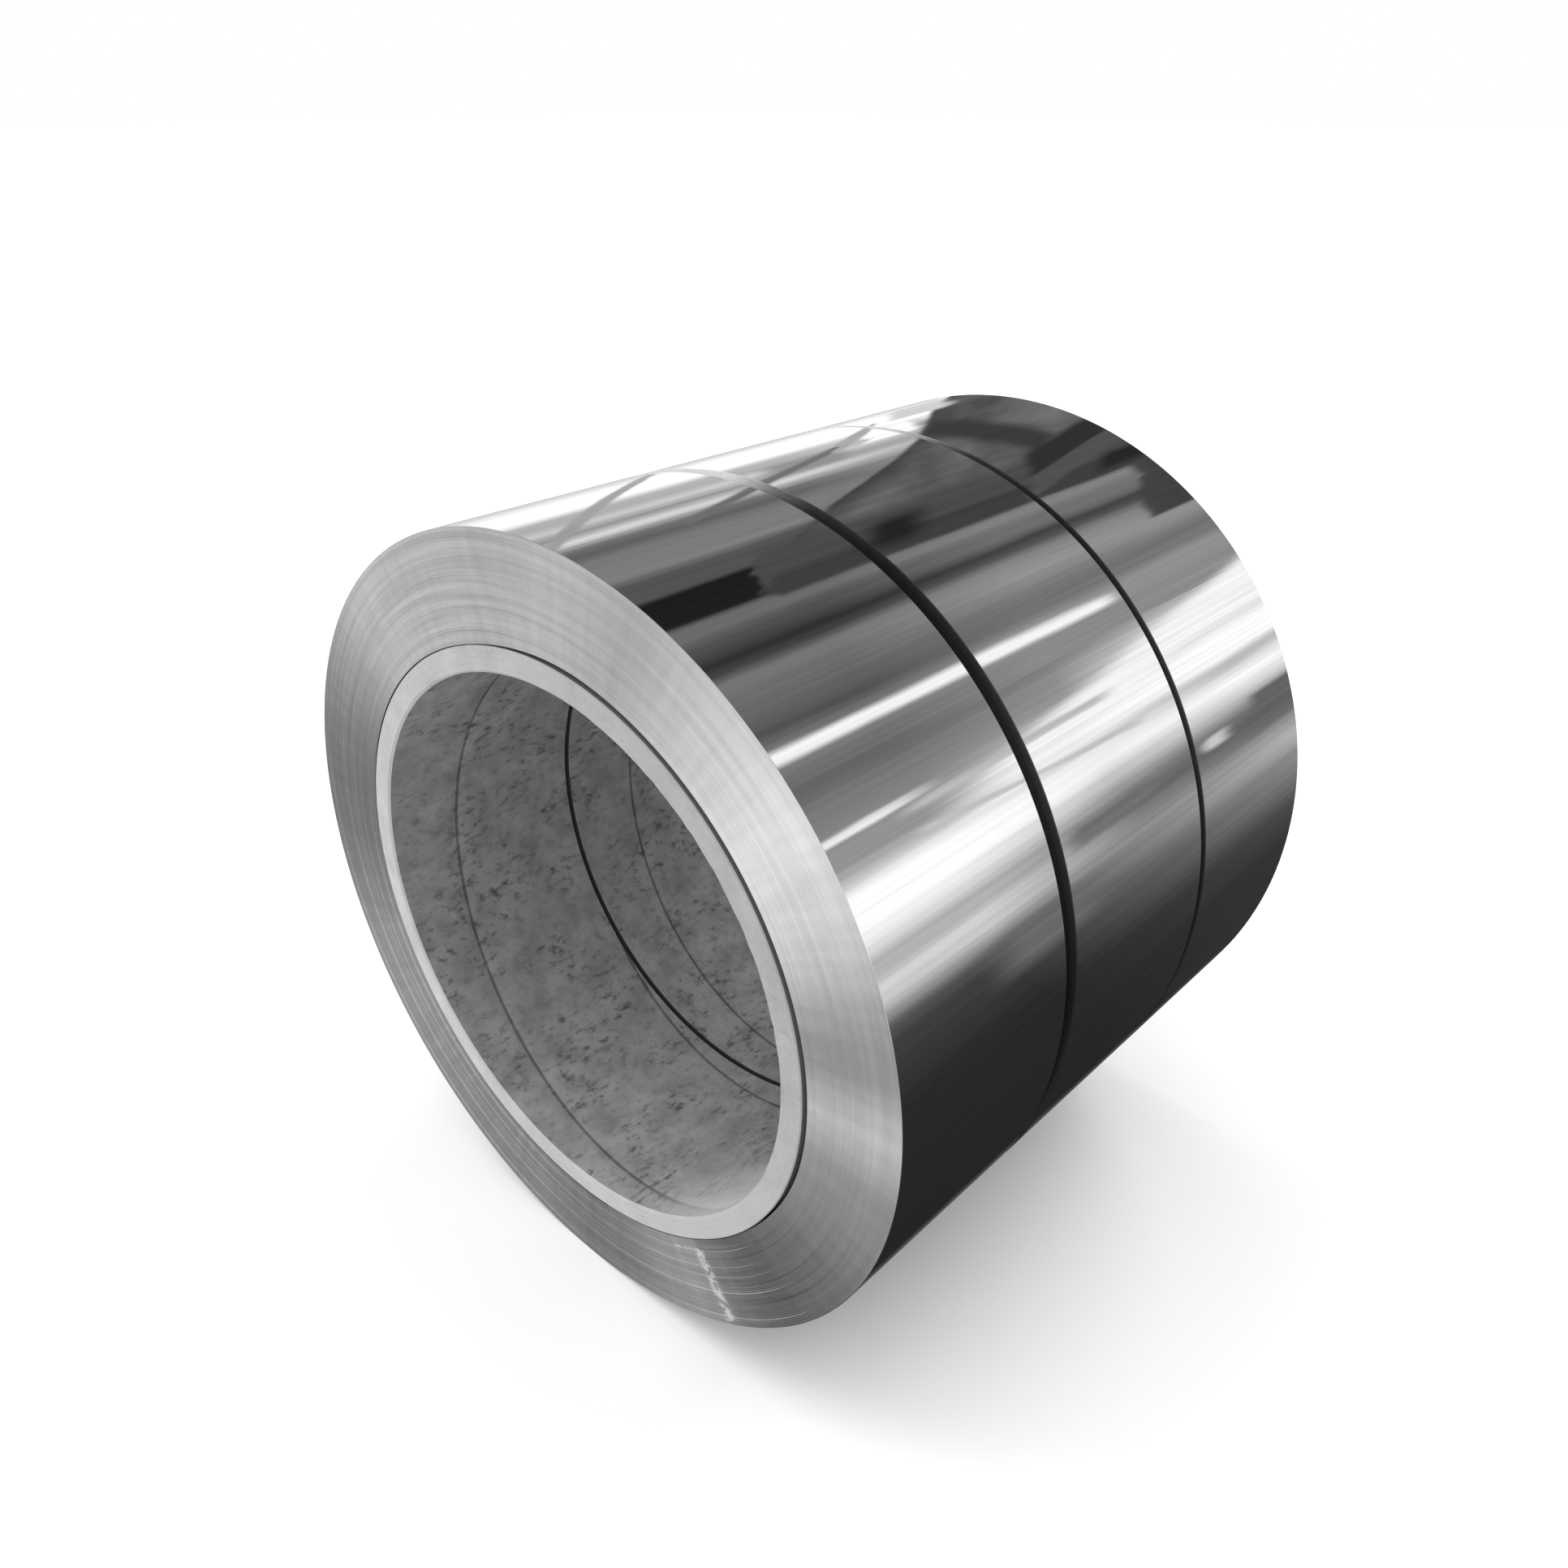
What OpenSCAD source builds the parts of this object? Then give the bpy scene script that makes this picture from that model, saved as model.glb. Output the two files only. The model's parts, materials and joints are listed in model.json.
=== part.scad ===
// Set of three slit steel coils on their fibre cores, lying on its side.
// Z is up, Y runs along the axis of the coils, and the front end faces -Y.
// The origin is on the floor, under the middle of the set.

/* [Strip coils] */
// Outside diameter of the wound coils
coil_od = 730; // [660:5:900]
// Width of the strip in the front coil
front_w = 206; // [120:1:320]
// Width of the strip in the middle coil
middle_w = 204; // [120:1:320]
// Width of the strip in the rear coil
rear_w = 190; // [120:1:320]
// Open gap between the front and middle coils
front_gap = 15; // [8:1:40]
// Open gap between the middle and rear coils
rear_gap = 8; // [6:1:40]
// Radius worn on the outermost wrap at each slit edge
rim_r = 0.6; // [0.2:0.1:1.5]

/* [Wound end faces] */
// Radial height of one band of wraps that went on at the same sideways place
band_h = 8.6; // [5:0.1:20]
// Deepest that a band of wraps lies back from the outermost wraps
band_set_back = 0.9; // [0.2:0.1:2]
// Turn from one band's set-back to the next, in degrees of its wave
band_phase = 137; // [20:1:340]

/* [Cores] */
// Bore of the cores, which takes a mandrel or a lifting arm
core_bore = 508; // [400:1:560]
// Wall thickness of the cores
core_wall = 22; // [10:1:35]
// Play all round between a core and the innermost wrap
core_play = 3; // [1:0.5:6]
// Clearance left where a core rests against the innermost wrap
seat_gap = 0.3; // [0.1:0.1:0.8]
// Place where the core rests, in degrees round from straight down
rest_angle = 55; // [0:1:180]
// Distance from a joint between two cores to the next coil's strip
joint_lead = 1.5; // [0.5:0.5:5]
// Clearance between the ends of two cores
butt_gap = 0.3; // [0.1:0.1:0.8]
// Chamfer on the bore edge at each end of a core
core_chamfer = 2; // [0.5:0.5:5]
// Chamfer on the outer edge at each end of a core
core_outer_chamfer = 1; // [0.5:0.5:4]

/* [Hidden] */
$fn = 180;

coil_r = coil_od / 2;
bore_r = core_bore / 2;
core_r = bore_r + core_wall;
eye_r = core_r + core_play;
wound_h = coil_r - eye_r;
bands = max(2, round(wound_h / band_h));

// The core has dropped against one side of the eye by this much
core_shift = core_play - seat_gap;
core_dx = -core_shift * sin(rest_angle);
core_dz = -core_shift * cos(rest_angle);

// Places along the axis, from the front end to the rear end
total_l = front_w + front_gap + middle_w + rear_gap + rear_w;
front_y = -total_l / 2;
middle_y = front_y + front_w + front_gap;
rear_y = middle_y + middle_w + rear_gap;
end_y = rear_y + rear_w;
joint_1_y = middle_y - joint_lead;
joint_2_y = rear_y - joint_lead;

// Radius at the inside of band k, and how far that band lies back
function band_r(k) = eye_r + wound_h * k / bands;
function set_back(k) =
    k == bands - 1 ? 0 : band_set_back * (0.5 + 0.5 * sin(band_phase * (k + 1)));

// Outline of one end face, from the eye to the rim, as [radius, depth]
function end_outline() = [
    for (k = [0 : bands - 1], side = [0, 1])
        [band_r(k + side) - (k == bands - 1 && side == 1 ? rim_r : 0), set_back(k)]
];

// Section of a wound coil of width w: front end, rim and rear end
function coil_section(w) = let (face = end_outline(), n = len(face)) concat(
    [for (p = face) [p[0], p[1]]],
    [[coil_r, rim_r], [coil_r, w - rim_r]],
    [for (i = [n - 1 : -1 : 0]) [face[i][0], w - face[i][1]]]
);

// Stands a shape turned about Z on the coils' axis, starting at place y
module on_axis(y) {
    translate([0, y, coil_r]) rotate([-90, 0, 0]) children();
}

module strip_coil(y, w) {
    on_axis(y) rotate_extrude() polygon(coil_section(w));
}

module core(y, l) {
    translate([core_dx, 0, core_dz]) on_axis(y) rotate_extrude() polygon([
        [bore_r, core_chamfer],
        [bore_r + core_chamfer, 0],
        [core_r - core_outer_chamfer, 0],
        [core_r, core_outer_chamfer],
        [core_r, l - core_outer_chamfer],
        [core_r - core_outer_chamfer, l],
        [bore_r + core_chamfer, l],
        [bore_r, l - core_chamfer]
    ]);
}

module strip_coil_front() { color("silver") strip_coil(front_y, front_w); }
module strip_coil_middle() { color("silver") strip_coil(middle_y, middle_w); }
module strip_coil_rear() { color("silver") strip_coil(rear_y, rear_w); }

module core_front() {
    color("lightgray") core(front_y, joint_1_y - butt_gap / 2 - front_y);
}
module core_middle() {
    color("lightgray") core(joint_1_y + butt_gap / 2, joint_2_y - joint_1_y - butt_gap);
}
module core_rear() {
    color("lightgray") core(joint_2_y + butt_gap / 2, end_y - joint_2_y - butt_gap / 2);
}

strip_coil_front();
strip_coil_middle();
strip_coil_rear();
core_front();
core_middle();
core_rear();
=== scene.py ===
import json
import math
import random

import bmesh
import bpy
import numpy as np
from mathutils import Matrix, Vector


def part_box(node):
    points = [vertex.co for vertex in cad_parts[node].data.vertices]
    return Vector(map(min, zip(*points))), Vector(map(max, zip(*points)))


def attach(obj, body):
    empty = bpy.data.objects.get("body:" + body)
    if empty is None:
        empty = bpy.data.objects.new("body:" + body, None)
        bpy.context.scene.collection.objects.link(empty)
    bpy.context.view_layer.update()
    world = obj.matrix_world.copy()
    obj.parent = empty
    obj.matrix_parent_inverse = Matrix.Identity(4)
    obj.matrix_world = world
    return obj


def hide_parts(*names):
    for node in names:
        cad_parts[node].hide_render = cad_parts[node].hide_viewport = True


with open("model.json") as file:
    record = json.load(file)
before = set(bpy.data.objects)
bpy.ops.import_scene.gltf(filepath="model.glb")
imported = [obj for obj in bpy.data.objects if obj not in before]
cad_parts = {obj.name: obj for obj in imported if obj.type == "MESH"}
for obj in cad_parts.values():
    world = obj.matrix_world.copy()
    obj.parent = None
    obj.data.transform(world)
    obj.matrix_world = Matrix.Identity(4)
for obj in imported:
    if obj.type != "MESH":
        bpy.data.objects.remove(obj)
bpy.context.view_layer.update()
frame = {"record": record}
print("frame loaded")

mm = 0.001
dice = random.Random(7)


# sizes read from the frame

frontLow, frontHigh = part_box("strip_coil_front")
middleLow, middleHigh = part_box("strip_coil_middle")
rearLow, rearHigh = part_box("strip_coil_rear")
coreLow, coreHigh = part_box("core_front")
coilRadius = (frontHigh.x - frontLow.x) / 2
coreRadius = (coreHigh.x - coreLow.x) / 2
coilAxis = Vector((0, 0, coilRadius))
coreAxis = (coreLow + coreHigh) / 2
mounts = {mount["name"]: mount for mount in frame["record"]["mounts"]}
boreRadius = mounts["bore"]["dims"]["r_mm"] * mm


def linearColour(hexCode):
    channels = [int(hexCode[i:i + 2], 16) / 255 for i in (1, 3, 5)]
    return [c / 12.92 if c <= 0.04045 else ((c + 0.055) / 1.055) ** 2.4 for c in channels] + [1]


def addNode(tree, kind, settings={}, inputs={}, stops=()):
    # an input is a plain value, a socket, or a node, which gives the first of its outputs that is in use
    node = tree.nodes.new("ShaderNode" + kind)
    for name, value in settings.items():
        setattr(node, name, value)
    for name, value in inputs.items():
        socket = node.inputs[name]
        if not socket.enabled:
            socket = next(s for s in node.inputs if s.enabled and s.name == name)
        if isinstance(value, bpy.types.Node):
            value = next(output for output in value.outputs if output.enabled)
        if isinstance(value, bpy.types.NodeSocket):
            tree.links.new(value, socket)
        else:
            socket.default_value = value
    for index, (place, tone) in enumerate(stops):
        ramp = node.color_ramp.elements
        stop = ramp[index] if index < 2 else ramp.new(place)
        stop.position = place
        stop.color = (tone, tone, tone, 1)
    return node


# settings that many nodes share
softStep = {"interpolation_type": "SMOOTHSTEP"}
colourMix = {"data_type": "RGBA"}
openEnded = {"clamp": False}


def startMaterial(name):
    material = bpy.data.materials.new(name)
    material.use_nodes = True
    material.node_tree.nodes.clear()
    return material, material.node_tree


def finishPiece(name, mesh, materials, node):
    piece = bpy.data.objects.new(name, mesh)
    bpy.context.scene.collection.objects.link(piece)
    for material in materials:
        mesh.materials.append(material)
    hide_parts(node)
    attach(piece, "root")


# bright rolled steel: the flat of the strip

steelFinish = {
    "colour": "#cfcfcf",     # neutral bright steel
    "roughness": 0.03,       # mirror rolls leave nearly clear reflections
    "stretch": 0.3,          # the roll marks run round the coil and smear a reflection along it
    "grainAcross": 9,        # mm from one faint ridge left by the winding to the next, round the coil
    "grainAlong": 420,       # mm that one ridge runs along the coil
    "grainHeight": 0.014,    # mm
}


def makeSteel():
    # cold rolled steel strip, bright rolled: a dark mirror with crisp light bands lying along the coil
    material, tree = startMaterial("coldRolledSteelBright")
    place = addNode(tree, "TexCoord").outputs["Object"]
    across = 1 / (steelFinish["grainAcross"] * mm)
    along = 1 / (steelFinish["grainAlong"] * mm)
    stretched = addNode(tree, "Mapping", {}, {"Vector": place, "Scale": (across, along, across)})
    ridges = addNode(tree, "TexNoise", {}, {"Vector": stretched, "Scale": 1, "Detail": 3})
    bump = addNode(tree, "Bump", {}, {
        "Height": ridges, "Distance": steelFinish["grainHeight"] * mm, "Strength": 1})
    tangent = addNode(tree, "Tangent", {"direction_type": "UV_MAP", "uv_map": "unrolled"})
    shader = addNode(tree, "BsdfPrincipled", {}, {
        "Base Color": linearColour(steelFinish["colour"]),
        "Metallic": 1,
        "Roughness": steelFinish["roughness"],
        "Anisotropic": steelFinish["stretch"],
        "Normal": bump,
        "Tangent": tangent,
    })
    addNode(tree, "OutputMaterial", {}, {"Surface": shader})
    return material


# slit edges of the strip: the wound end faces

edgeFinish = {
    "dark": "#d0d0d0",       # edges that lie back
    "light": "#e4e4e4",      # clean sheared edges
    "dust": 0.5,             # how much of the edges in a gap dull slitting dust covers
    "rearDust": 0.45,        # and on the rear face, which stood against the slitter's separator
    "roughness": 0.24,       # a sheared edge is satin, not bright
    "stretch": 0.97,         # all edges run round, so light smears out from the eye to the rim
    "lean": 0.18,            # slope of each edge, which the shear leaves further back on its outer side
    "wrap": 4.6,             # mm between lines; the strip is 0.8 mm and is drawn coarser so that it shows
    "turn": 200,             # mm along a wrap before its tone changes
    "ray": 2.1,              # degrees across the faint rays of painted sheen, where the glints of many wraps line up
    "rayLength": 90,         # mm
    "rayTone": 0.085,        # how much a ray lightens or darkens
    "nickAt": -55.5,         # degrees round, where a line of nicks crosses the wraps
    "nickWidth": 1.9,        # degrees to either side of the line
    "nickLong": 1.6,         # degrees along the wraps from one nick to the next
    "nickApart": 7,          # mm across the wraps from one nick to the next
    "nickFrom": 0.785,       # where the line starts and ends, in coil radii
    "nickTo": 0.99,
    "footLong": 7,           # degrees that a scratch runs on from the line's inner end, along one wrap
    "footWide": 1.6,         # mm
    "nick": "#cecece",       # a fresh nick scatters light, so it looks white
    "nickMetal": 0.2,        # and less like a mirror
    "nickFaint": 0.15,       # how much of the line shows between two nicks
    "groove": 0.06,          # mm from the top of one edge to the foot of the next
}
# Tone of the open end face: degrees round the coil, and share of the plain tone. It is darker on the left,
# carries a painted sheen that starts at the line of nicks, and has one narrow bright line.
openShares = [
    (-180, 0.66), (-172, 0.78), (-162, 0.96), (-157.5, 1.0), (-157, 1.2), (-156.5, 1.0),
    (-140, 0.95), (-100, 0.95), (-87, 0.76), (-78, 0.84), (-66, 1.12), (-55.7, 1.35),
    (-55.3, 1.03), (-45, 1.2), (-36, 1.22), (-26, 1.0), (-12, 0.93), (-5, 0.84), (0, 1.0),
    (4.5, 1.14), (12, 0.97), (60, 1.05), (80, 1.0), (135, 0.97), (145, 0.84), (155, 0.69),
    (165, 0.59), (180, 0.66),
]
# In the gaps the tone is painted shade, dark all round and lighter on top where light reaches in; slitting
# dust also dulls the edges there.
gapShadeShares = [
    (-180, 0.06), (-40, 0.027), (-10, 0.027), (5, 0.032), (20, 0.068), (35, 0.097), (50, 0.062),
    (65, 0.045), (78, 0.08), (84, 0.35), (92, 1.2), (112, 1.15), (122, 0.35), (150, 0.12), (180, 0.06),
]
# The rear face is even.
rearShares = [(-180, 1.0), (0, 0.92), (90, 1.05), (180, 1.0)]
# How strongly the rings show: degrees round the coil, and times the plain strength
ringShares = [
    (-180, 0.9), (-165, 0.2), (-95, 0.25), (-80, 1.3), (-30, 1.2), (-5, 0.8), (30, 1.0), (90, 1.3),
    (105, 2.1), (155, 2.0), (180, 0.9),
]
mostShare = 2                # a ramp holds 0 to 1, so shares go in as parts of these
mostRing = 2.5


def makeEdgeSteel(name, shares, dust):
    # slit edge of steel strip, sheared: satin grey with fine rings and soft fans of light
    material, tree = startMaterial(name)
    place = addNode(tree, "TexCoord").outputs["Object"]
    split = addNode(tree, "SeparateXYZ", {}, {0: place})
    height = addNode(tree, "Math", {"operation": "SUBTRACT"}, {0: split.outputs["Z"], 1: coilAxis.z})
    flat = addNode(tree, "CombineXYZ", {}, {0: split.outputs["X"], 1: height, 2: 0})
    radius = addNode(tree, "VectorMath", {"operation": "LENGTH"}, {0: flat})
    turn = addNode(tree, "Math", {"operation": "ARCTAN2"}, {0: height, 1: split.outputs["X"]})
    degrees = addNode(tree, "Math", {"operation": "DEGREES"}, {0: turn})

    # rings: each wrap keeps its own tone for a while along the strip
    perWrap = addNode(tree, "Math", {"operation": "MULTIPLY"}, {
        0: radius, 1: 1 / (edgeFinish["wrap"] * mm)})
    perTurn = addNode(tree, "VectorMath", {"operation": "SCALE"}, {
        0: flat, "Scale": 1 / (edgeFinish["turn"] * mm)})
    around = addNode(tree, "SeparateXYZ", {}, {0: perTurn})
    rings = addNode(tree, "CombineXYZ", {}, {0: around.outputs["X"], 1: around.outputs["Y"], 2: perWrap})
    lines = addNode(tree, "TexNoise", {}, {"Vector": rings, "Scale": 1, "Detail": 4, "Roughness": 0.55})
    turnShare = addNode(tree, "MapRange", {}, {"Value": degrees, "From Min": -180, "From Max": 180})
    strength = addNode(tree, "ValToRGB", {}, {0: turnShare}, [
        ((degree + 180) / 360, share / mostRing) for degree, share in ringShares])
    offMiddle = addNode(tree, "MapRange", openEnded, {
        "Value": lines, "From Min": 0.25, "From Max": 0.75,
        "To Min": -mostRing / 2 * (1 - dust), "To Max": mostRing / 2 * (1 - dust)})
    tone = addNode(tree, "Math", {"operation": "MULTIPLY_ADD"}, {0: offMiddle, 1: strength, 2: 0.5})
    ringTone = addNode(tree, "Mix", colourMix, {
        "Factor": tone, "A": linearColour(edgeFinish["dark"]), "B": linearColour(edgeFinish["light"])})

    # rays across the rings: painted sheen
    perRay = addNode(tree, "Math", {"operation": "DIVIDE"}, {0: degrees, 1: edgeFinish["ray"]})
    alongRay = addNode(tree, "Math", {"operation": "DIVIDE"}, {0: radius, 1: edgeFinish["rayLength"] * mm})
    rayPlace = addNode(tree, "CombineXYZ", {}, {0: perRay, 1: alongRay, 2: 0})
    rays = addNode(tree, "TexNoise", {}, {"Vector": rayPlace, "Scale": 1, "Detail": 3})
    rayTone = addNode(tree, "MapRange", {}, {
        "Value": rays, "From Min": 0.2, "From Max": 0.8,
        "To Min": 1 - edgeFinish["rayTone"], "To Max": 1 + edgeFinish["rayTone"]})

    # tone round the coil: in the gaps it is painted shade, on the open face it carries a painted sheen
    paintedToneShare = addNode(tree, "ValToRGB", {}, {0: turnShare}, [
        ((degree + 180) / 360, share / mostShare) for degree, share in shares])
    paintedTone = addNode(tree, "Math", {"operation": "MULTIPLY"}, {0: paintedToneShare, 1: mostShare})
    share = addNode(tree, "Math", {"operation": "MULTIPLY"}, {0: rayTone, 1: paintedTone})
    toned = addNode(tree, "VectorMath", {"operation": "SCALE"}, {0: ringTone, "Scale": share})

    # nicks: short bright dashes along one line from the eye to the rim, on the front face
    fromLine = addNode(tree, "Math", {"operation": "SUBTRACT"}, {0: degrees, 1: edgeFinish["nickAt"]})
    offLine = addNode(tree, "Math", {"operation": "ABSOLUTE"}, {0: fromLine})
    onLine = addNode(tree, "MapRange", softStep, {
        "Value": offLine, "From Min": 0, "From Max": edgeFinish["nickWidth"], "To Min": 1, "To Max": 0})
    perNick = addNode(tree, "Math", {"operation": "DIVIDE"}, {0: degrees, 1: edgeFinish["nickLong"]})
    acrossNicks = addNode(tree, "Math", {"operation": "DIVIDE"}, {
        0: radius, 1: edgeFinish["nickApart"] * mm})
    nickPlace = addNode(tree, "CombineXYZ", {}, {0: perNick, 1: acrossNicks, 2: 0})
    dashes = addNode(tree, "TexNoise", {}, {"Vector": nickPlace, "Scale": 1, "Detail": 2})
    isDash = addNode(tree, "MapRange", softStep, {
        "Value": dashes, "From Min": 0.42, "From Max": 0.56,
        "To Min": edgeFinish["nickFaint"], "To Max": 1})
    nickMiddle = (edgeFinish["nickFrom"] + edgeFinish["nickTo"]) / 2 * coilRadius
    nickHalf = (edgeFinish["nickTo"] - edgeFinish["nickFrom"]) / 2 * coilRadius
    inLength = addNode(tree, "Math", {"operation": "COMPARE"}, {0: radius, 1: nickMiddle, 2: nickHalf})
    onFront = addNode(tree, "Math", {"operation": "LESS_THAN"}, {
        0: split.outputs["Y"], 1: frontLow.y + 2 * mm})
    frontLine = addNode(tree, "Math", {"operation": "MULTIPLY"}, {0: onLine, 1: onFront})
    dashed = addNode(tree, "Math", {"operation": "MULTIPLY"}, {0: frontLine, 1: isDash})
    line = addNode(tree, "Math", {"operation": "MULTIPLY"}, {0: dashed, 1: inLength})
    footHalf = edgeFinish["footLong"] / 2
    inFoot = addNode(tree, "Math", {"operation": "COMPARE"}, {
        0: degrees, 1: edgeFinish["nickAt"] - footHalf, 2: footHalf})
    onFoot = addNode(tree, "Math", {"operation": "COMPARE"}, {
        0: radius, 1: edgeFinish["nickFrom"] * coilRadius, 2: edgeFinish["footWide"] / 2 * mm})
    footPlace = addNode(tree, "Math", {"operation": "MULTIPLY"}, {0: inFoot, 1: onFoot})
    foot = addNode(tree, "Math", {"operation": "MULTIPLY"}, {0: footPlace, 1: onFront})
    footDashed = addNode(tree, "Math", {"operation": "MULTIPLY"}, {0: foot, 1: isDash})
    nick = addNode(tree, "Math", {"operation": "MAXIMUM"}, {0: line, 1: footDashed})
    colour = addNode(tree, "Mix", colourMix, {
        "Factor": nick, "A": toned, "B": linearColour(edgeFinish["nick"])})
    metallic = addNode(tree, "MapRange", {}, {
        "Value": nick, "To Min": 1 - dust, "To Max": edgeFinish["nickMetal"]})

    grooves = addNode(tree, "Bump", {}, {
        "Height": lines, "Distance": edgeFinish["groove"] * mm * (1 - dust), "Strength": strength})
    lean = addNode(tree, "Bump", {"invert": True}, {
        "Height": radius, "Distance": edgeFinish["lean"], "Strength": 1, "Normal": grooves})
    tangent = addNode(tree, "Tangent", {"direction_type": "UV_MAP", "uv_map": "unrolled"})
    shader = addNode(tree, "BsdfPrincipled", {}, {
        "Base Color": colour,
        "Metallic": metallic,
        "Roughness": edgeFinish["roughness"],
        "Anisotropic": edgeFinish["stretch"],
        "Normal": lean,
        "Tangent": tangent,
    })
    addNode(tree, "OutputMaterial", {}, {"Surface": shader})
    return material


# paperboard of the cores

coreFinish = {
    "pale": "#949494",       # pulp of the bore's wall
    "deep": "#7a7a7a",
    "fleck": "#3c3c3c",      # bark and ink in the pulp
    "cutPale": "#bebebe",    # sawn board, and the tone of the painted light at the bore's mouth
    "cutDeep": "#b2b2b2",
    "endShade": 0.3,             # how much darker a sawn end is painted towards its upper right: painted shade
    "litSideAt": -145,         # degrees round, where a sawn end is lightest
    "seamPale": "#6e6e6e",   # glue in a ply seam, smeared here and there
    "seamDeep": "#484848",
    "joint": "#242424",      # shade between two cores
    "wall": "#6e6e6e",       # outside of the tube: painted shade from the strip wound over it
    "roughness": 0.85,
    "mottle": 32,            # mm across a patch of darker pulp
    "fleckLong": 12,         # mm that a fleck of bark runs along the bore
    "fleckWide": 6.6,        # mm round the bore
    "fleckShare": 0.9,       # how dark the flecks are in the bore
    "cutFleckShare": 0.15,   # and on a sawn end
    "cluster": 52,           # mm across a cluster of flecks
    "litPatchAt": -44,           # degrees round the mouth, where a painted pool of light lies in the bore
    "litPatchWide": 150,         # mm from there to where the painted light ends
    "litPatchShare": 0.8,        # how pale the painted light is there
    "fibre": 0.9,            # mm; paper fibre is finer and is drawn coarser so that it shows
    "fibreHeight": 0.15,     # mm
}


def makeBoard(name, paleCode, deepCode, fleckShare, endShade=0):
    # recycled paperboard, spiral wound: dull mottled grey with dark flecks of pulp
    material, tree = startMaterial(name)
    place = addNode(tree, "TexCoord").outputs["Object"]
    mottle = addNode(tree, "TexNoise", {}, {
        "Vector": place, "Scale": 1 / (coreFinish["mottle"] * mm), "Detail": 5, "Roughness": 0.6})
    patch = addNode(tree, "MapRange", {}, {"Value": mottle, "From Min": 0.35, "From Max": 0.65})
    pulp = addNode(tree, "Mix", colourMix, {
        "Factor": patch, "A": linearColour(deepCode), "B": linearColour(paleCode)})

    # flecks of bark, which lie along the tube and crowd together in places
    wide = 1 / (coreFinish["fleckWide"] * mm)
    long = 1 / (coreFinish["fleckLong"] * mm)
    stretched = addNode(tree, "Mapping", {}, {"Vector": place, "Scale": (wide, long, wide)})
    specks = addNode(tree, "TexNoise", {}, {
        "Vector": stretched, "Scale": 1, "Detail": 4, "Roughness": 0.62})
    fleck = addNode(tree, "MapRange", softStep, {
        "Value": specks, "From Min": 0.47, "From Max": 0.72, "To Max": fleckShare})
    clusters = addNode(tree, "TexNoise", {}, {
        "Vector": place, "Scale": 1 / (coreFinish["cluster"] * mm), "Detail": 3, "Roughness": 0.6})
    crowd = addNode(tree, "MapRange", softStep, {
        "Value": clusters, "From Min": 0.42, "From Max": 0.6, "To Min": 0.35, "To Max": 1})
    crowded = addNode(tree, "Math", {"operation": "MULTIPLY"}, {0: fleck, 1: crowd})
    colour = addNode(tree, "Mix", colourMix, {
        "Factor": crowded, "A": pulp, "B": linearColour(coreFinish["fleck"])})

    # painted light: a pool of light painted pale at the lower right of the mouth, and painted shade that
    # darkens a sawn end towards its upper right
    litPatchTurn = math.radians(coreFinish["litPatchAt"])
    litPatchPlace = Vector((coreAxis.x, coreLow.y, coreAxis.z)) + boreRadius * Vector((
        math.cos(litPatchTurn), 0, math.sin(litPatchTurn)))
    fromLitPatch = addNode(tree, "VectorMath", {"operation": "DISTANCE"}, {0: place, 1: litPatchPlace})
    litPatch = addNode(tree, "MapRange", softStep, {
        "Value": fromLitPatch, "From Min": 0, "From Max": coreFinish["litPatchWide"] * mm,
        "To Min": coreFinish["litPatchShare"], "To Max": 0})
    colour = addNode(tree, "Mix", colourMix, {
        "Factor": litPatch, "A": colour, "B": linearColour(coreFinish["cutPale"])})
    litTurn = math.radians(coreFinish["litSideAt"])
    litSide = Vector((math.cos(litTurn), 0, math.sin(litTurn)))
    acrossEnd = addNode(tree, "VectorMath", {"operation": "DOT_PRODUCT"}, {0: place, 1: litSide})
    middle = coreAxis.dot(litSide)
    # painted shade: a sawn end darkens away from its lit side
    endShaded = addNode(tree, "MapRange", {}, {
        "Value": acrossEnd, "From Min": middle - coreRadius, "From Max": middle + coreRadius,
        "To Min": 1 - endShade, "To Max": 1})
    colour = addNode(tree, "VectorMath", {"operation": "SCALE"}, {0: colour, "Scale": endShaded})

    fibres = addNode(tree, "TexNoise", {}, {
        "Vector": place, "Scale": 1 / (coreFinish["fibre"] * mm), "Detail": 2})
    bump = addNode(tree, "Bump", {}, {
        "Height": fibres, "Distance": coreFinish["fibreHeight"] * mm, "Strength": 0.5})
    shader = addNode(tree, "BsdfPrincipled", {}, {
        "Base Color": colour,
        "Roughness": coreFinish["roughness"],
        "Normal": bump,
    })
    addNode(tree, "OutputMaterial", {}, {"Surface": shader})
    return material


steelFinishes = [
    makeSteel(),
    makeEdgeSteel("steelSlitEdgeSheared", openShares, 0),
    # edges in the gaps: slitting dust and painted shade
    makeEdgeSteel("steelSlitEdgeDustyShaded", gapShadeShares, edgeFinish["dust"]),
    makeEdgeSteel("steelSlitEdgeDull", rearShares, edgeFinish["rearDust"]),
]
rolled, sheared, dustyShaded, dull = range(4)
boardFinishes = [makeBoard(*finish) for finish in (
    ("paperboardSpiralWound", coreFinish["pale"], coreFinish["deep"], coreFinish["fleckShare"]),
    ("paperboardSawnEnd", coreFinish["cutPale"], coreFinish["cutDeep"], coreFinish["cutFleckShare"],
     coreFinish["endShade"]),
    ("paperboardGluedSeam", coreFinish["seamPale"], coreFinish["seamDeep"], coreFinish["fleckShare"]),
    ("paperboardOuterShaded", coreFinish["wall"], coreFinish["wall"], 0),
    ("paperboardJointShade", coreFinish["joint"], coreFinish["joint"], 0),
)]
wound, sawnOpen, glued, outerShaded, sawnJoint = range(5)
print("materials made")


# strip coils

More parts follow.
